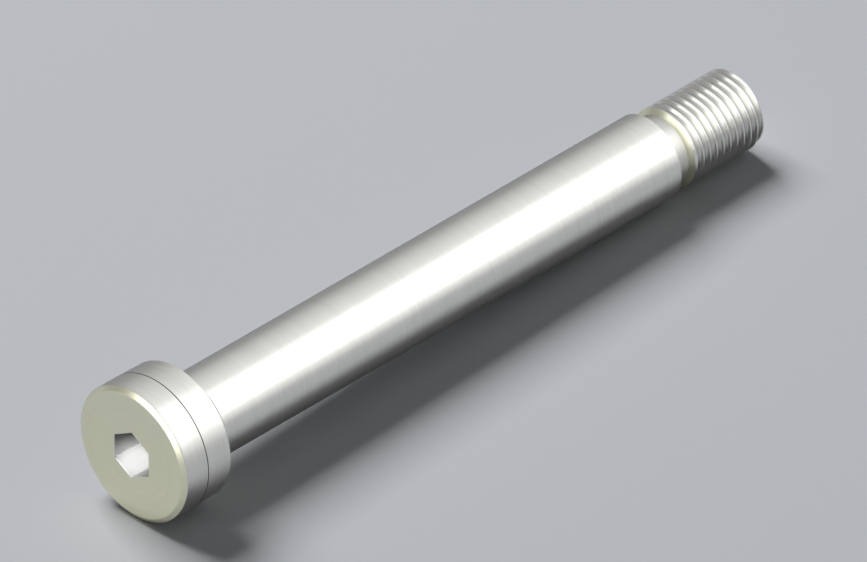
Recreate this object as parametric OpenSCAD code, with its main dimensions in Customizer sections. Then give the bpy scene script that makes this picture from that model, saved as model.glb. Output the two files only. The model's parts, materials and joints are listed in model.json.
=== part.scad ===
// Hexagon socket head shoulder bolt, turned in one piece, in millimetres.
// The origin is the middle of the seat under the head. The bolt lies as it comes to
// rest: its axis points along +X and dips a little, because the head is wider than
// the threaded end. The thread is kept as its plain crest cylinder.

/* [Head] */
// Diameter of the straight band at the top of the head
head_d = 16; // [13:0.1:24]
// Height of the whole head, from its seat to its top
head_h = 7; // [5.8:0.1:12]
// Height of the lower part of the head, which narrows towards the seat
head_taper_h = 3.5; // [1:0.1:4.5]
// How much smaller the head's radius is at the seat than at the band
head_taper = 0.1; // [0.05:0.05:0.4]
// Width of the chamfer round the head's top, seen from above
head_chamfer = 0.6; // [0.2:0.1:1.2]

/* [Socket] */
// Hexagon across flats
socket_af = 5; // [3:0.1:6]
// Depth of the full hexagon
socket_depth = 4.5; // [3:0.1:5.4]
// Angle of the drilled point under the hexagon
socket_point = 120; // [100:5:140]
// How much smaller the drilled point is than the hexagon across flats
socket_drill_under = 0.1; // [0.05:0.05:0.4]

/* [Shoulder] */
// Diameter of the ground shoulder
shoulder_d = 10; // [8.3:0.1:12]
// Length of the shoulder, from the seat to the step at its end
shoulder_l = 70; // [20:1:120]
// Length of the grinding relief under the head
relief_l = 1.85; // [1:0.05:2.5]
// Depth of the grinding relief below the shoulder
relief_depth = 0.3; // [0.1:0.05:0.5]
// Radius of the fillet between the relief and the seat under the head
relief_fillet = 0.25; // [0.1:0.05:0.4]

/* [Threaded end] */
// Width of the step from the shoulder down to the thread's crest
end_step = 0.4; // [0.2:0.1:0.8]
// Length of the threaded end, from the step to the tip
end_l = 13; // [8:0.5:25]
// Length of the neck between the step and the thread
neck_l = 2; // [1:0.1:3]
// Depth of the neck below the thread's crest
neck_depth = 0.6; // [0.3:0.05:1]
// Radius of the fillet between the neck and the step
neck_fillet = 0.2; // [0.1:0.05:0.4]

/* [Chamfers] */
// Slope of every chamfer, measured from the flat face it starts at
chamfer_angle = 35; // [20:1:50]

/* [Hidden] */
$fn = 128;

steel = [0.79, 0.79, 0.76];
cut_over = 1;

head_r = head_d / 2;
head_seat_r = head_r - head_taper;
shoulder_r = shoulder_d / 2;
relief_r = shoulder_r - relief_depth;
crest_r = shoulder_r - end_step;
neck_r = crest_r - neck_depth;
tip_x = shoulder_l + end_l;
socket_corner_r = socket_af / sqrt(3);
drill_r = (socket_af - socket_drill_under) / 2;

fillet_steps = 6;

// Height of a chamfer that is this wide
function chamfer_h(width) = width * tan(chamfer_angle);

// Quarter round in the corner where a face at this place meets a cylinder of this radius
function fillet(place, radius, size) = [
    for (i = [0:fillet_steps])
        let (turn = 90 * i / fillet_steps)
            [place + size * (1 - cos(turn)), radius + size * (1 - sin(turn))]
];

// Half of the bolt's section, as [distance along the bolt, radius], from top to tip
head_outline = [
    [-head_h, 0],
    [-head_h, head_r - head_chamfer],
    [-head_h + chamfer_h(head_chamfer), head_r],
    [-head_taper_h, head_r],
    [0, head_seat_r]
];
shoulder_outline = [
    [relief_l, relief_r],
    [relief_l + chamfer_h(relief_depth), shoulder_r],
    [shoulder_l, shoulder_r]
];
thread_outline = [
    [shoulder_l + neck_l, neck_r],
    [shoulder_l + neck_l + chamfer_h(neck_depth), crest_r],
    [tip_x - chamfer_h(neck_depth), crest_r],
    [tip_x, neck_r],
    [tip_x, 0]
];
bolt_outline = concat(
    head_outline,
    fillet(0, relief_r, relief_fillet),
    shoulder_outline,
    fillet(shoulder_l, neck_r, neck_fillet),
    thread_outline
);

// The bolt lies on a rim of its head and on one corner nearer the tip. The dip is the
// slope of the line that touches both, with every other corner on its upper side.
function slope(rim, corner) = atan((rim[1] - corner[1]) / (corner[0] - rim[0]));
head_rims = [head_outline[3], head_outline[4]];
end_corners = [shoulder_outline[2], thread_outline[2]];
rest_dip = max([for (rim = head_rims) min([for (corner = end_corners) slope(rim, corner)])]);

// The seam of the turned faces runs along the bolt's side, clear of where it rests
module turned_body() {
    rotate([0, 0, 90])
        rotate_extrude()
            polygon([for (p = bolt_outline) [p[1], p[0]]]);
}

// Two of the hexagon's corners point straight up and down on the lying bolt
module hexagon_socket() {
    translate([0, 0, -head_h - cut_over])
        cylinder(r = socket_corner_r, h = cut_over + socket_depth, $fn = 6);
}

module drilled_point() {
    drill_start = -head_h + socket_depth / 2;
    drill_end = -head_h + socket_depth;
    rotate_extrude()
        polygon([
            [0, drill_start],
            [drill_r, drill_start],
            [drill_r, drill_end],
            [0, drill_end + drill_r / tan(socket_point / 2)]
        ]);
}

module shoulder_bolt() {
    color(steel)
        rotate([0, 90 + rest_dip, 0])
            difference() {
                turned_body();
                hexagon_socket();
                drilled_point();
            }
}

shoulder_bolt();
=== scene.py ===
import json
import math
from collections import namedtuple

import bmesh
import bpy
from mathutils import Matrix, Vector


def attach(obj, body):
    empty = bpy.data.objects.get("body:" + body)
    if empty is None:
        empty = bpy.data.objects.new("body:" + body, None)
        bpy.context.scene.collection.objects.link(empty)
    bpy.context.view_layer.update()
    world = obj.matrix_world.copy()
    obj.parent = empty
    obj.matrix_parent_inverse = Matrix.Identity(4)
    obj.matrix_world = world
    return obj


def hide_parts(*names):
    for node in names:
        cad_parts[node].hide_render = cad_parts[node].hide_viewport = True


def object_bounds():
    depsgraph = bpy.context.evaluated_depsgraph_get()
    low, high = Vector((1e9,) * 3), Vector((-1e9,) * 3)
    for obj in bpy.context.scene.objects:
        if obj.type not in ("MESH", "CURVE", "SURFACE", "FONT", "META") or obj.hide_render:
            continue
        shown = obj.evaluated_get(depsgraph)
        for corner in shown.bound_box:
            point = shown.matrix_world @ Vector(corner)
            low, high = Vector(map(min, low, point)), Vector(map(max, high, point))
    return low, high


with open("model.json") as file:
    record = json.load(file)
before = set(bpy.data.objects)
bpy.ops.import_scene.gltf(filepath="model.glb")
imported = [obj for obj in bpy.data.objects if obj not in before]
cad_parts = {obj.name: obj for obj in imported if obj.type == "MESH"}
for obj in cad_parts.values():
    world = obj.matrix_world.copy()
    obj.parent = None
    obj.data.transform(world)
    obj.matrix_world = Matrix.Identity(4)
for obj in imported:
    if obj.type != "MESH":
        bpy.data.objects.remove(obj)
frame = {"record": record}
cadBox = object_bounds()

mm = 0.001
micron = 0.000001
fullTurn = 2 * math.pi
touching = micron / 10  # a point this near a place lies on it
weldGap = micron / 2  # points of two finished parts this near each other are joined
boxRoom = 0.01 * mm  # keeps the finer mesh inside the frame's box

# The bolt is modelled lying along X, head first, and is dipped into its resting place at the end.
mounts = {mount["name"]: mount for mount in frame["record"]["mounts"]}
seatPlace = Vector(mounts["under_head_seat"]["pos_m"])
boltAxis = Vector(mounts["under_head_seat"]["axis"]).normalized()
restDip = math.atan2(-boltAxis.z, boltAxis.x)
restTurn = Matrix.Rotation(restDip, 4, "Y")


def alongBolt(mountName):
    return (Vector(mounts[mountName]["pos_m"]) - seatPlace).dot(boltAxis)


# Sizes that the frame already has
headHeight = -alongBolt("hexagon_socket")
headRadius = cadBox[1].y - boxRoom
shoulderLength = alongBolt("shoulder_step")
shoulderRadius = mounts["shoulder"]["dims"]["r_mm"] * mm
crestRadius = mounts["threaded_end"]["dims"]["r_mm"] * mm
crestLength = mounts["threaded_end"]["dims"]["length_mm"] * mm
crestStart = alongBolt("threaded_end") - crestLength / 2
print("frame: head %.1f mm, shoulder %.1f mm, crest from %.2f mm"
      % (headHeight / mm, shoulderLength / mm, crestStart / mm))

turning = {
    "steps": 192,  # faces round the axis
    "chamferSlope": math.radians(35),  # from the flat face that each chamfer starts at
    "edgeBreak": 0.06 * mm,  # flat left where a sharp corner is stoned
    "sharpAngle": math.radians(18),  # an edge that turns more than this is crisp
    "sharpRing": math.radians(0.5),  # the same for the rings of the turned body
    "facingHead": -0.5,  # a face whose normal along the bolt is below this faces the head
}


def chamferHeight(width):
    return width * math.tan(turning["chamferSlope"])


def radiusOf(point):
    return math.hypot(point.y, point.z)


def setRadius(vert, radius):
    # Moves a point straight to or from the axis
    stretch = radius / radiusOf(vert.co)
    vert.co.y *= stretch
    vert.co.z *= stretch


def vertsOf(edges):
    return list({vert for edge in edges for vert in edge.verts})


def vertsIn(items):
    return [item for item in items if isinstance(item, bmesh.types.BMVert)]


def openRing(bm, along, radius):
    # The open edges of a turned surface at this distance along the bolt and this radius
    def onRing(vert):
        return abs(vert.co.x - along) < touching and abs(radiusOf(vert.co) - radius) < micron
    return [edge for edge in bm.edges if edge.is_boundary and all(map(onRing, edge.verts))]


def pullRing(bm, ring, along=0.0, scale=1.0):
    # Extrudes a ring along the bolt and about its axis, and returns the new ring
    made = bmesh.ops.extrude_edge_only(bm, edges=ring)["geom"]
    verts = vertsIn(made)
    bmesh.ops.scale(bm, verts=verts, vec=(1, scale, scale))
    bmesh.ops.translate(bm, verts=verts, vec=(along, 0, 0))
    fresh = set(verts)
    return [item for item in made
            if isinstance(item, bmesh.types.BMEdge) and set(item.verts) <= fresh]


def closePoint(bm, ring, along=0.0):
    # Closes a ring to one point on the axis
    tip = vertsOf(pullRing(bm, ring, along, scale=0.0))
    bmesh.ops.pointmerge(bm, verts=tip, merge_co=(tip[0].co.x, 0, 0))


thread = {
    "pitch": 1.0 * mm,
    "depth": 0.58 * mm,
    "flank": math.radians(60),  # from the axis
    "crestFlat": 0.16 * mm,
    "crestBreak": 0.02 * mm,
    "fadeLength": 0.9 * mm,  # over which the groove gets shallow where it runs out at the neck
    "rootSteps": 6,
    "stepsPerTurn": 128,
    "leadTurns": 2,  # turns that start before the threaded end and are trimmed off
    "weldGap": 2 * micron,
    "chamferWidth": 0.6 * mm,
    "neckFillet": 0.2 * mm,
    "neckFilletSteps": 6,
}
threadStart = crestStart - chamferHeight(thread["chamferWidth"])
neckRadius = crestRadius - thread["chamferWidth"]
tipPlace = (cadBox[1].x - neckRadius * math.sin(restDip)) / math.cos(restDip)


def threadLimit(along):
    # Radius of the blank that the thread is cut on, with its two chamfers
    fromEnd = min(along - threadStart, tipPlace - along)
    return min(crestRadius, neckRadius + max(fromEnd, 0) / math.tan(turning["chamferSlope"]))


def threadOutline(bm, start):
    # One pitch of the thread's section, from the middle of a root to the middle of the next
    pitch, slope = thread["pitch"], math.tan(thread["flank"])
    sharpDepth = (pitch - thread["crestFlat"]) / 2 * slope
    rootCurve = sharpDepth - thread["depth"]  # radius of the round root
    rootMiddle = crestRadius - thread["depth"] + rootCurve
    half = [(rootCurve * math.sin(turn), rootMiddle - rootCurve * math.cos(turn))
            for turn in (thread["flank"] * step / thread["rootSteps"]
                         for step in range(thread["rootSteps"] + 1))]
    corner = pitch / 2 - thread["crestFlat"] / 2
    cut = thread["crestBreak"]
    half += [(corner - cut * math.cos(thread["flank"]),
              crestRadius - cut * math.sin(thread["flank"])),
             (corner + cut, crestRadius)]
    outline = half + [(pitch - along, radius) for along, radius in reversed(half)]
    verts = [bm.verts.new((start + along, 0, radius)) for along, radius in outline]
    edges = [bm.edges.new(pair) for pair in zip(verts, verts[1:])]
    return verts + edges


def cutThread():
    # A right-hand helix, longer than the threaded end, trimmed and kept inside the blank
    bm = bmesh.new()
    pitch, steps = thread["pitch"], thread["stepsPerTurn"]
    outline = threadOutline(bm, threadStart - thread["leadTurns"] * pitch)
    bmesh.ops.spin(bm, geom=outline, cent=(0, 0, 0), axis=(1, 0, 0), dvec=(pitch / steps, 0, 0),
                   angle=fullTurn, steps=steps, use_merge=False, use_duplicate=False)
    oneTurn = bm.verts[:] + bm.edges[:] + bm.faces[:]
    turns = math.ceil((tipPlace - threadStart) / pitch) + thread["leadTurns"] + 1
    for turn in range(1, turns):
        copied = bmesh.ops.duplicate(bm, geom=oneTurn)["geom"]
        bmesh.ops.translate(bm, verts=vertsIn(copied), vec=(turn * pitch, 0, 0))
    bmesh.ops.remove_doubles(bm, verts=bm.verts, dist=micron)
    for place, outward, isEnd in ((threadStart, -1, True), (crestStart, -1, False),
                                  (crestStart + crestLength, 1, False), (tipPlace, 1, True)):
        bmesh.ops.bisect_plane(bm, geom=bm.verts[:] + bm.edges[:] + bm.faces[:], dist=touching,
                               plane_co=(place, 0, 0), plane_no=(outward, 0, 0), clear_outer=isEnd)
        for vert in bm.verts:
            if abs(vert.co.x - place) < thread["weldGap"]:
                vert.co.x = place
    for vert in bm.verts:
        depth = crestRadius - radiusOf(vert.co)
        share = min(max((vert.co.x - crestStart) / thread["fadeLength"], 0), 1)
        cutRadius = crestRadius - depth * math.sin(share * math.pi / 2)
        setRadius(vert, min(cutRadius, threadLimit(vert.co.x)))
    bmesh.ops.remove_doubles(bm, verts=bm.verts, dist=thread["weldGap"])
    mesh = bpy.data.meshes.new("thread")
    bm.to_mesh(mesh)
    bm.free()
    return mesh


def turnNeck(bm):
    # From the thread's start back to the step, with a small round at the corner
    place, radius = threadStart, neckRadius
    ring = openRing(bm, place, radius)
    fillet, steps = thread["neckFillet"], thread["neckFilletSteps"]
    for step in range(steps + 1):
        turn = math.pi / 2 * step / steps
        nextPlace = shoulderLength + fillet * (1 - math.sin(turn))
        nextRadius = neckRadius + fillet * (1 - math.cos(turn))
        ring = pullRing(bm, ring, nextPlace - place, nextRadius / radius)
        place, radius = nextPlace, nextRadius
    return ring


def closeTip(bm):
    closePoint(bm, openRing(bm, tipPlace, neckRadius))


body = {
    "headChamfer": 0.6 * mm,
    "headTaper": 0.1 * mm,
    "headTaperHeight": 3.5 * mm,
    "headLineWidth": 0.12 * mm,  # fine line where the two turning passes on the head meet
    "headLineDepth": 0.04 * mm,
    "reliefLength": 1.85 * mm,
    "reliefDepth": 0.3 * mm,
    "reliefFillet": 0.25 * mm,
    "reliefFilletSteps": 6,
    "rimBreak": 0.12 * mm,  # the wider break on the rim of the seat under the head
    "faceRing": 3.6 * mm,  # where the turned face meets the flat round the socket
    "stepRing": 4.5 * mm,  # where the turned body meets the step round the neck
}


def bodyCorners():
    # Corners of the turned section as (distance along the bolt, radius, kind of corner)
    chamfer, taper = body["headChamfer"], body["headTaper"]
    line, lineHalf = -body["headTaperHeight"], body["headLineWidth"] / 2
    reliefRadius = shoulderRadius - body["reliefDepth"]
    lineEnd = headRadius - taper * lineHalf / body["headTaperHeight"]
    return [
        (-headHeight, body["faceRing"], "end"),
        (-headHeight, headRadius - chamfer, "sharp"),
        (-headHeight + chamferHeight(chamfer), headRadius, "sharp"),
        (line - lineHalf, headRadius, "plain"),
        (line, headRadius - body["headLineDepth"], "plain"),
        (line + lineHalf, lineEnd, "plain"),
        (0, headRadius - taper, "rim"),
        (0, reliefRadius, "hollow"),
        (body["reliefLength"], reliefRadius, "plain"),
        (body["reliefLength"] + chamferHeight(body["reliefDepth"]), shoulderRadius, "plain"),
        (shoulderLength, shoulderRadius, "sharp"),
        (shoulderLength, body["stepRing"], "end"),
    ]


def turnBody(bm):
    # Head and shoulder, spun from their section
    section = [(bm.verts.new((along, 0, radius)), kind) for along, radius, kind in bodyCorners()]
    verts = [vert for vert, kind in section]
    for pair in zip(verts, verts[1:]):
        bm.edges.new(pair)
    for kind, size, steps in (("hollow", body["reliefFillet"], body["reliefFilletSteps"]),
                              ("sharp", turning["edgeBreak"], 1), ("rim", body["rimBreak"], 1)):
        bmesh.ops.bevel(bm, geom=[vert for vert, own in section if own == kind], offset=size,
                        offset_type="OFFSET", affect="VERTICES", segments=steps, profile=0.5,
                        material=-1)
    line = [item for item in bm.verts if item.link_edges and not item.link_faces]
    bmesh.ops.spin(bm, geom=line + [item for item in bm.edges if item.is_wire], cent=(0, 0, 0),
                   axis=(1, 0, 0), angle=fullTurn, steps=turning["steps"], use_merge=True,
                   use_duplicate=False)


socket = {
    "acrossFlats": 5.0 * mm,
    "depth": 4.5 * mm,
    "point": math.radians(120),
    "drillUnder": 0.1 * mm,  # how much smaller the drilled point is than the hexagon
    "mouthBreak": 0.05 * mm,
    "flatTurn": math.pi / 3,  # from the middle of one flat to the next
}


def reshapeRing(ring, radiusAt):
    # Moves a ring's points to and from the axis, to a radius that goes by their turn from the top
    for vert in vertsOf(ring):
        setRadius(vert, radiusAt(math.atan2(vert.co.y, vert.co.z)))
    return ring


def hexagonRadius(acrossFlats):
    # Six flats with a corner at the top and at the bottom
    def radiusAt(turn):
        fromFlat = turn % socket["flatTurn"] - socket["flatTurn"] / 2
        return acrossFlats / 2 / math.cos(fromFlat)
    return radiusAt


def broachSocket(bm):
    flats, cut = socket["acrossFlats"], socket["mouthBreak"]
    drillRadius = (flats - socket["drillUnder"]) / 2
    mouth = reshapeRing(pullRing(bm, openRing(bm, -headHeight, body["faceRing"])),
                        hexagonRadius(flats + 2 * cut))
    lip = reshapeRing(pullRing(bm, mouth, cut), hexagonRadius(flats))
    floor = pullRing(bm, lip, socket["depth"] - cut)
    point = reshapeRing(pullRing(bm, floor), lambda turn: drillRadius)
    closePoint(bm, point, drillRadius / math.tan(socket["point"] / 2))


class Wire:
    # Wraps one socket of a material. Operators add Math nodes, node() adds any other kind.
    def __init__(self, tree, socket=None):
        self.tree = tree
        self.socket = socket

    def node(self, kind, settings=None, inputs=None, output=0):
        made = self.tree.nodes.new("ShaderNode" + kind)
        for name, value in (settings or {}).items():
            setattr(made, name, value)
        for name, value in (inputs or {}).items():
            if isinstance(value, Wire):
                self.tree.links.new(value.socket, made.inputs[name])
            else:
                made.inputs[name].default_value = value
        return Wire(self.tree, made.outputs[output])

    def maths(self, operation, first, second=0.0, clamp=False):
        return self.node("Math", {"operation": operation, "use_clamp": clamp},
                         {0: first, 1: second})

    def __add__(self, other):
        return self.maths("ADD", self, other)

    def __radd__(self, other):
        return self.maths("ADD", other, self)

    def __sub__(self, other):
        return self.maths("SUBTRACT", self, other)

    def __rsub__(self, other):
        return self.maths("SUBTRACT", other, self)

    def __mul__(self, other):
        return self.maths("MULTIPLY", self, other)

    def __rmul__(self, other):
        return self.maths("MULTIPLY", other, self)

    def __truediv__(self, other):
        return self.maths("DIVIDE", self, other)

    def __rtruediv__(self, other):
        return self.maths("DIVIDE", other, self)

    def __pow__(self, other):
        return self.maths("POWER", self, other)

    def __rpow__(self, other):
        return self.maths("POWER", other, self)

    def clamped(self):
        return self.maths("ADD", self, 0.0, clamp=True)

    def mixColour(self, factor, first, second):
        # Sockets 6 and 7 of a Mix node take its colours, and its third output gives one
        return self.node("Mix", {"data_type": "RGBA"}, {0: factor, 6: first, 7: second}, 2)


def splitAxes(start, vector):
    return [start.node("SeparateXYZ", inputs={"Vector": vector}, output=axis) for axis in range(3)]


def joinAxes(start, x, y, z):
    return start.node("CombineXYZ", inputs={"X": x, "Y": y, "Z": z})


# Distance along the bolt, the two distances across it, and the distance from its axis
BoltPlace = namedtuple("BoltPlace", "along across above radius")


def boltPlace(start):
    point = start.node("TexCoord", output="Object")
    upright = start.node("Mapping", inputs={"Vector": point, "Rotation": (0, -restDip, 0)})
    along, across, above = splitAxes(start, upright)
    return BoltPlace(along, across, above, (across * across + above * above) ** 0.5)


def noise(start, vector, detail=2.0):
    return start.node("TexNoise", inputs={"Vector": vector, "Scale": 1.0, "Detail": detail})


def newMaterial(name):
    material = bpy.data.materials.new(name)
    material.use_nodes = True
    tree = material.node_tree
    tree.nodes.clear()
    return material, Wire(tree)


def finishMaterial(start, shader):
    output = start.tree.nodes.new("ShaderNodeOutputMaterial")
    start.tree.links.new(shader.socket, output.inputs["Surface"])


marks = {
    "slant": 0.6,  # lets one pattern follow cylinders, cones and flat faces alike
    "roundLength": 14 * mm,  # how far a mark runs round the axis before it fades
    "straightLength": 6 * mm,  # the same for the marks along the socket's walls
    "filmSize": 9 * mm,  # patches of handling film
    "filmDetail": 3.0,
    "filmShare": 0.45,  # how much each pattern sways the colour
    "fineShare": 1.4,
    "broadShare": 0.8,
}
patternMiddle = 0.5  # every pattern runs from 0 to 1 about this


def roundMarks(start, place, width):
    # Marks that run round the axis, about this wide, from 0 to 1
    reach = marks["roundLength"]
    step = (place.along + place.radius * marks["slant"]) / width
    return noise(start, joinAxes(start, step, place.across / reach, place.above / reach))


def straightMarks(start, place, width):
    # Marks that run down the socket's walls
    step = place.along / marks["straightLength"]
    return noise(start, joinAxes(start, step, place.across / width, place.above / width))


def furrows(start, place, feed):
    # The even groove that a turning tool leaves at each turn, from 0 to 1
    wave = start.maths("SINE", (place.along + place.radius) * (fullTurn / feed))
    return wave * patternMiddle + patternMiddle


def filmPatches(start, place):
    size = marks["filmSize"]
    point = joinAxes(start, place.along / size, place.across / size, place.above / size)
    return noise(start, point, marks["filmDetail"])


def near(start, value, centre, reach, edge):
    # 1 about the centre, fading to 0 at this reach over an edge of this width
    return ((reach - start.maths("ABSOLUTE", value - centre)) / edge).clamped()


# Painted shade: this near-black colour is mixed into the steel's colour in the fine line round the
# head, in the corners of the reliefs and in the thread's roots, where shade falls
paintedShade = {
    "colour": (0.07, 0.068, 0.06, 1),
    "rough": 0.5,
    "lineReach": 0.085 * mm,
    "cornerReach": 0.32 * mm,
    "cornerShare": 0.5,
    "rootShare": 0.2,
}


def bodyPaintedShade(start, place):
    # Painted shade: dark colour painted into the fine line round the head and into the corners of
    # both reliefs
    reach = paintedShade["lineReach"]
    found = near(start, place.along, -body["headTaperHeight"], reach, reach / 2)
    corners = ((0.0, shoulderRadius - body["reliefDepth"]), (shoulderLength, neckRadius))
    for corner, depth in corners:
        away = ((place.along - corner) ** 2 + (place.radius - depth) ** 2) ** 0.5
        inCorner = near(start, away, 0.0, paintedShade["cornerReach"], paintedShade["cornerReach"])
        found = start.maths("MAXIMUM", found, inCorner * paintedShade["cornerShare"])
    return found


def threadPaintedShade(start, place):
    # Painted shade: dark colour painted into the thread's roots, strongest at the bottom of each
    # root
    depth = thread["depth"]
    found = near(start, place.radius, crestRadius - depth, depth, depth)
    return found * found * paintedShade["rootShare"]


def steelFinish(name, finish, marksOf, paintedShadeOf):
    # Bare steel: its colour and roughness drift a little, and its tool marks stand as bump
    material, start = newMaterial(name)
    place = boltPlace(start)
    fineWidth, fineDepth = finish["fine"]
    broadWidth, broadDepth = finish["broad"]
    fine = marksOf(start, place, fineWidth)
    broad = marksOf(start, place, broadWidth)
    film = filmPatches(start, place)
    drift = (patternMiddle + (film - patternMiddle) * marks["filmShare"]
             + (fine - patternMiddle) * marks["fineShare"]
             + (broad - patternMiddle) * marks["broadShare"])
    colour = start.mixColour(drift.clamped(), finish["colour"], finish["stain"])
    rough = (finish["rough"] + (broad - patternMiddle) * finish["roughMarks"]
             + (film - patternMiddle) * finish["roughFilm"])
    # Painted shade: the colour goes darker, and rougher, where the mask finds the line, a corner
    # or a root
    if paintedShadeOf:
        shadeAmount = paintedShadeOf(start, place)
        colour = start.mixColour(shadeAmount, colour, paintedShade["colour"])
        rough = rough + shadeAmount * (paintedShade["rough"] - finish["rough"])
    height = fine * fineDepth + broad * broadDepth
    if finish["furrow"]:
        feed, furrowDepth = finish["furrow"]
        height = height + furrows(start, place, feed) * furrowDepth
    bump = start.node("Bump", inputs={"Strength": 1.0, "Distance": 1.0, "Height": height})
    shader = start.node("BsdfPrincipled", inputs={
        "Base Color": colour, "Metallic": finish["metal"], "Roughness": rough.clamped(),
        "Specular Tint": finish["grazing"], "Normal": bump})
    finishMaterial(start, shader)
    return material


# How much the steel mirrors where it is seen at a slant: all, or half on the dimmer finishes
brightSlant = (1, 1, 1, 1)
dimSlant = (0.5, 0.5, 0.5, 1)

# Marks and furrows are given as their width and their depth. A finish's roughness stays on
# one side of 0.27, because the denoiser leaves patches where it crosses that.
groundFinish = {
    "metal": 1.0, "rough": 0.29, "roughMarks": 0.02, "roughFilm": 0.02, "grazing": dimSlant,
    "colour": (0.83, 0.83, 0.795, 1), "stain": (0.75, 0.745, 0.705, 1),
    "fine": (0.22 * mm, 0.6 * micron), "broad": (1.1 * mm, 1.5 * micron), "furrow": None,
}
turnedFinish = {
    "metal": 1.0, "rough": 0.31, "roughMarks": 0.03, "roughFilm": 0.02, "grazing": dimSlant,
    "colour": (0.82, 0.82, 0.78, 1), "stain": (0.75, 0.745, 0.70, 1),
    "fine": (0.25 * mm, 0.6 * micron), "broad": (0.9 * mm, 1.2 * micron), "furrow": None,
}
# Partly real and partly painted shade: the neck and the reliefs are rougher, unground steel, and
# their colour is also set darker so that they read shaded next to the shoulder
shadedGrooveFinish = {
    "metal": 1.0, "rough": 0.42, "roughMarks": 0.06, "roughFilm": 0.02, "grazing": dimSlant,
    "colour": (0.72, 0.72, 0.69, 1), "stain": (0.64, 0.635, 0.60, 1),
    "fine": (0.22 * mm, 1.0 * micron), "broad": (0.8 * mm, 1.5 * micron), "furrow": None,
}
# Painted light: the flat face and the chamfers that look towards the head are the same steel as
# the round surfaces, but their colour is tinted yellower to stand in for warmer light falling on
# them. Their furrows and marks are real.
warmLitFacedFinish = {
    "metal": 1.0, "rough": 0.35, "roughMarks": 0.08, "roughFilm": 0.04, "grazing": brightSlant,
    "colour": (0.86, 0.855, 0.665, 1), "stain": (0.80, 0.79, 0.60, 1),
    "fine": (0.09 * mm, 2.0 * micron), "broad": (0.5 * mm, 3.0 * micron),
    "furrow": (0.22 * mm, 3.0 * micron),
}
warmLitChamferFinish = dict(warmLitFacedFinish, rough=0.31, roughMarks=0.03, fine=(0.07 * mm, 0.4 * micron),
                     broad=(0.3 * mm, 0.5 * micron), furrow=None)
threadFinish = {
    "metal": 1.0, "rough": 0.2, "roughMarks": 0.05, "roughFilm": 0.04, "grazing": dimSlant,
    "colour": (0.85, 0.85, 0.82, 1), "stain": (0.80, 0.795, 0.76, 1),
    "fine": (0.06 * mm, 0.6 * micron), "broad": (0.3 * mm, 0.8 * micron), "furrow": None,
}
# Painted shade: the socket's walls are given a far darker colour than the steel outside, standing
# in for the shade inside the recess; the small lamp in the socket lights one wall against it
shadedSocketFinish = {
    "metal": 0.2, "rough": 0.45, "roughMarks": 0.10, "roughFilm": 0.04, "grazing": brightSlant,
    "colour": (0.21, 0.21, 0.206, 1), "stain": (0.18, 0.18, 0.176, 1),
    "fine": (0.08 * mm, 2.5 * micron), "broad": (0.3 * mm, 4.0 * micron), "furrow": None,
}


def makeFinishes():
    made = [("ground_steel", groundFinish, roundMarks, None),
            ("turned_steel", turnedFinish, roundMarks, bodyPaintedShade),
            ("grooved_steel_shaded", shadedGrooveFinish, roundMarks, bodyPaintedShade),
            ("faced_steel_warm_lit", warmLitFacedFinish, roundMarks, None),
            ("chamfer_steel_warm_lit", warmLitChamferFinish, roundMarks, None),
            ("thread_steel", threadFinish, roundMarks, threadPaintedShade),
            ("broached_steel_shaded", shadedSocketFinish, straightMarks, None)]
    return {name: steelFinish(name, *rest) for name, *rest in made}


def finishOf(face):
    # The finish that a face of the lying bolt has, by where it is and how it faces
    centre = face.calc_center_median()
    radius = radiusOf(centre)
    if -headHeight + micron < centre.x < 0 and radius < body["faceRing"]:
        return "broached_steel_shaded"
    # The flat face and the chamfers facing the head take finishes whose yellower colour paints
    # warmer light on them
    if centre.x < -headHeight + micron:
        return "faced_steel_warm_lit"
    onHeadChamfer = centre.x < -headHeight + chamferHeight(body["headChamfer"])
    onThreadChamfer = threadStart < centre.x < crestStart
    if face.normal.x < turning["facingHead"] and (onHeadChamfer or onThreadChamfer):
        return "chamfer_steel_warm_lit"
    if threadStart < centre.x < tipPlace - micron:
        return "thread_steel"
    if 0 < centre.x < shoulderLength and radius > shoulderRadius - body["reliefDepth"] / 2:
        return "ground_steel"
    inRelief = 0 < centre.x < shoulderLength and radius < shoulderRadius
    inNeck = shoulderLength - micron < centre.x < crestStart
    return "grooved_steel_shaded" if inRelief or inNeck else "turned_steel"


def markSharp(bm):
    # Rings of the turned body stay crisp however little they turn; the rest goes by angle
    for edge in bm.edges:
        angle = edge.calc_face_angle(0)
        isRing = abs(edge.verts[0].co.x - edge.verts[1].co.x) < micron
        onBody = edge.verts[0].co.x < threadStart - micron
        edge.smooth = angle < turning["sharpRing" if isRing and onBody else "sharpAngle"]
    for face in bm.faces:
        face.smooth = True


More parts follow.
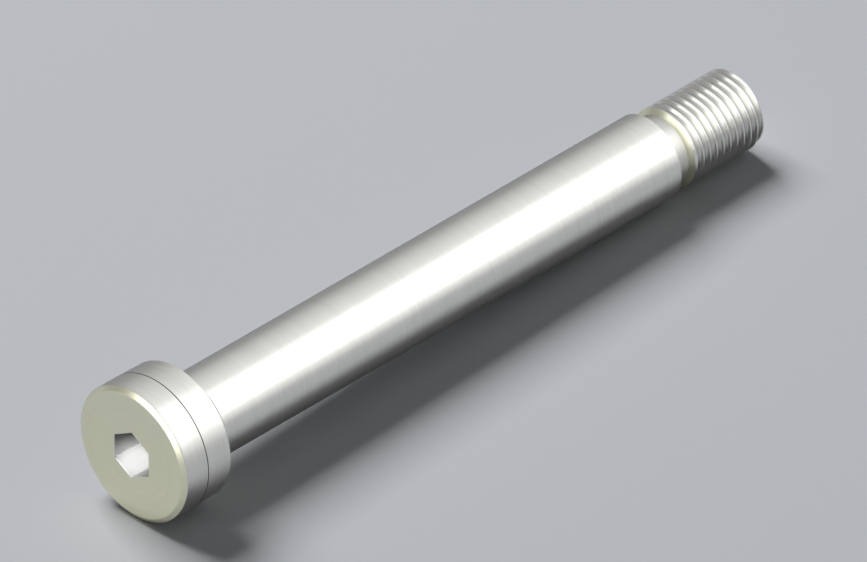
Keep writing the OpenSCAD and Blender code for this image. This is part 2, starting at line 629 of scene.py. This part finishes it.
def makeBolt():
    bm = bmesh.new()
    turnBody(bm)
    broachSocket(bm)
    threadMesh = cutThread()
    print("thread: %d faces" % len(threadMesh.polygons))
    bm.from_mesh(threadMesh)
    bpy.data.meshes.remove(threadMesh)
    closeTip(bm)
    neckEnd = turnNeck(bm)
    bmesh.ops.bridge_loops(bm, edges=neckEnd + openRing(bm, shoulderLength, body["stepRing"]))
    bmesh.ops.remove_doubles(bm, verts=bm.verts, dist=weldGap)
    bmesh.ops.recalc_face_normals(bm, faces=bm.faces)
    openEdges = sum(not edge.is_manifold for edge in bm.edges)
    print("bolt: %d faces, %d open edges" % (len(bm.faces), openEdges))

    finishes = makeFinishes()
    slots = list(finishes)
    print("finishes: %s" % ", ".join(slots))
    for face in bm.faces:
        face.material_index = slots.index(finishOf(face))
    markSharp(bm)
    bmesh.ops.transform(bm, matrix=Matrix.Translation(seatPlace) @ restTurn, verts=bm.verts)
    mesh = bpy.data.meshes.new("shoulder_bolt_finished")
    bm.to_mesh(mesh)
    bm.free()
    for name in slots:
        mesh.materials.append(finishes[name])
    bolt = bpy.data.objects.new("shoulder_bolt_finished", mesh)
    bpy.context.scene.collection.objects.link(bolt)
    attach(bolt, "root")
    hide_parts("shoulder_bolt")


floorForm = {
    "radius": 4.0,
    "segments": 96,
    "colour": (0.50, 0.515, 0.54, 1),
    "rough": 0.8,
    "shine": 0.0,  # none, because it would show the edges of the cards
}


def makeFloor(height):
    material, start = newMaterial("pale_floor")
    finishMaterial(start, start.node("BsdfPrincipled", inputs={
        "Base Color": floorForm["colour"], "Roughness": floorForm["rough"],
        "Specular IOR Level": floorForm["shine"]}))
    bm = bmesh.new()
    bmesh.ops.create_circle(bm, cap_ends=True, segments=floorForm["segments"],
                            radius=floorForm["radius"], matrix=Matrix.Translation((0, 0, height)))
    mesh = bpy.data.meshes.new("floor")
    bm.to_mesh(mesh)
    bm.free()
    mesh.materials.append(material)
    floor = bpy.data.objects.new("floor", mesh)
    bpy.context.scene.collection.objects.link(floor)


# Each lamp: the way to it from the bolt's middle, its distance, width and height in metres,
# and how bright its face is, where 1 is white. The steel mirrors the cards, which shed no
# light, and the lamp that makes the shadow is out of its sight.
lamps = {
    "band_card": {"way": (0.55, -0.55, 0.63), "far": 0.70, "size": (0.66, 0.62), "bright": 0.75,
                  "isCard": True},
    "head_card": {"way": (-0.95, 0.02, 0.27), "far": 0.60, "size": (0.68, 0.46), "bright": 1.9,
                  "isCard": True},
    "shadow_light": {"way": (0.05, 0.58, 0.75), "far": 2.40, "size": (1.26, 1.26), "bright": 13,
                     "isCard": False},
}

# A small lamp with a narrow cone, which shines through the socket's mouth on one wall
socketLamp = {
    "way": (-0.70, -0.40, 0.59),
    "far": 0.25,
    "wallTurn": math.radians(150),  # the wall that it shines on, as a turn from the top
    "wallDepth": 1.8 * mm,
    "coneWidth": 4.8 * mm,
    "coneBlend": 0.6,
    "size": 2 * mm,
    "bright": 8.5,  # on a matt wall that faces it, where 1 is white
}

# A pale backdrop all round, which the steel mirrors. It is palest in one way and fades to
# the other side. It sheds less on the floor, so that the bolt keeps its shadow.
backdrop = {
    "way": (0.55, -0.45, 0.70),
    "colour": (1, 1, 1, 1),
    "middle": 0.39,  # how bright it is square to that way
    "swing": 0.66,  # what it gains towards that way and loses away from it
    "least": 0.34,
    "ambient": 0.12,  # what it sheds
    "seen": (0.46, 0.48, 0.505, 1),  # its colour where no floor hides it
}


def hangLamp(light, settings, target):
    # Hangs a lamp so that it shines from its own way on the target
    holder = bpy.data.objects.new(light.name, light)
    way = Vector(settings["way"]).normalized()
    holder.rotation_mode = "QUATERNION"
    holder.rotation_quaternion = way.to_track_quat("Z", "Y")
    holder.location = target + way * settings["far"]
    holder.visible_camera = False
    bpy.context.scene.collection.objects.link(holder)
    return holder


def makeLamps(target):
    for name, lamp in lamps.items():
        width, height = lamp["size"]
        light = bpy.data.lights.new(name, "AREA")
        light.shape = "RECTANGLE"
        light.size, light.size_y = width, height
        light.energy = lamp["bright"] * math.pi * width * height
        holder = hangLamp(light, lamp, target)
        holder.visible_diffuse = not lamp["isCard"]
        holder.visible_glossy = lamp["isCard"]


def makeSocketLamp():
    light = bpy.data.lights.new("socket_light", "SPOT")
    light.spot_size = 2 * math.atan(socketLamp["coneWidth"] / 2 / socketLamp["far"])
    light.spot_blend = socketLamp["coneBlend"]
    light.shadow_soft_size = socketLamp["size"] / 2
    light.energy = socketLamp["bright"] * (fullTurn * socketLamp["far"]) ** 2
    turn, wallRadius = socketLamp["wallTurn"], socket["acrossFlats"] / 2
    wall = Vector((-headHeight + socketLamp["wallDepth"], wallRadius * math.sin(turn),
                   wallRadius * math.cos(turn)))
    hangLamp(light, socketLamp, restTurn @ wall + seatPlace).visible_glossy = False


def makeBackdrop():
    world = bpy.data.worlds.new("pale_backdrop")
    world.use_nodes = True
    world.cycles.sampling_method = "NONE"
    tree = world.node_tree
    tree.nodes.clear()
    start = Wire(tree)
    toward = start.node("VectorMath", {"operation": "DOT_PRODUCT"},
                        {0: start.node("TexCoord", output="Generated"),
                         1: Vector(backdrop["way"]).normalized()}, output="Value")
    glow = start.maths("MAXIMUM", toward * backdrop["swing"] + backdrop["middle"],
                       backdrop["least"])
    inCamera = start.node("LightPath", output="Is Camera Ray")
    mirrored = (start.node("LightPath", output="Is Glossy Ray")
                + start.node("LightPath", output="Is Transmission Ray")).clamped()
    shed = (1 - inCamera - mirrored).clamped()
    light = start.node("Background", inputs={
        "Color": start.mixColour(inCamera, backdrop["colour"], backdrop["seen"]),
        "Strength": inCamera + mirrored * glow + shed * backdrop["ambient"]})
    output = tree.nodes.new("ShaderNodeOutputWorld")
    tree.links.new(light.socket, output.inputs["Surface"])
    bpy.context.scene.world = world


# The camera looks at the bolt at equal angles to its axis, to its side and down
viewing = {
    "pictureSize": (867, 562),
    "pixelsPerMm": 9.494,
    "seatPixel": (178.47, 428.37),  # where the middle of the seat falls in the picture
    "far": 0.5,
}


def makeCamera():
    right = Vector((1, -1, 0)).normalized()
    back = Vector((-1, -1, 1)).normalized()
    up = back.cross(right)
    width, height = viewing["pictureSize"]
    seatX, seatY = viewing["seatPixel"]
    shiftRight = (width / 2 - seatX) / viewing["pixelsPerMm"] * mm
    shiftUp = (seatY - height / 2) / viewing["pixelsPerMm"] * mm
    place = right * shiftRight + up * shiftUp + back * viewing["far"]
    turn = Matrix((right, up, back)).transposed().to_4x4()
    camera = bpy.data.cameras.new("camera")
    camera.type = "ORTHO"
    camera.ortho_scale = width / viewing["pixelsPerMm"] * mm
    holder = bpy.data.objects.new("camera", camera)
    holder.matrix_world = (Matrix.Translation(seatPlace) @ restTurn
                           @ Matrix.Translation(place) @ turn)
    bpy.context.scene.collection.objects.link(holder)
    bpy.context.scene.camera = holder


makeBolt()
bpy.context.view_layer.update()
lowest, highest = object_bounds()
makeFloor(lowest.z)
makeLamps((lowest + highest) / 2)
makeSocketLamp()
makeBackdrop()
makeCamera()
bpy.context.scene.view_settings.view_transform = "Standard"
print("studio: floor at %.3f mm" % (lowest.z / mm))
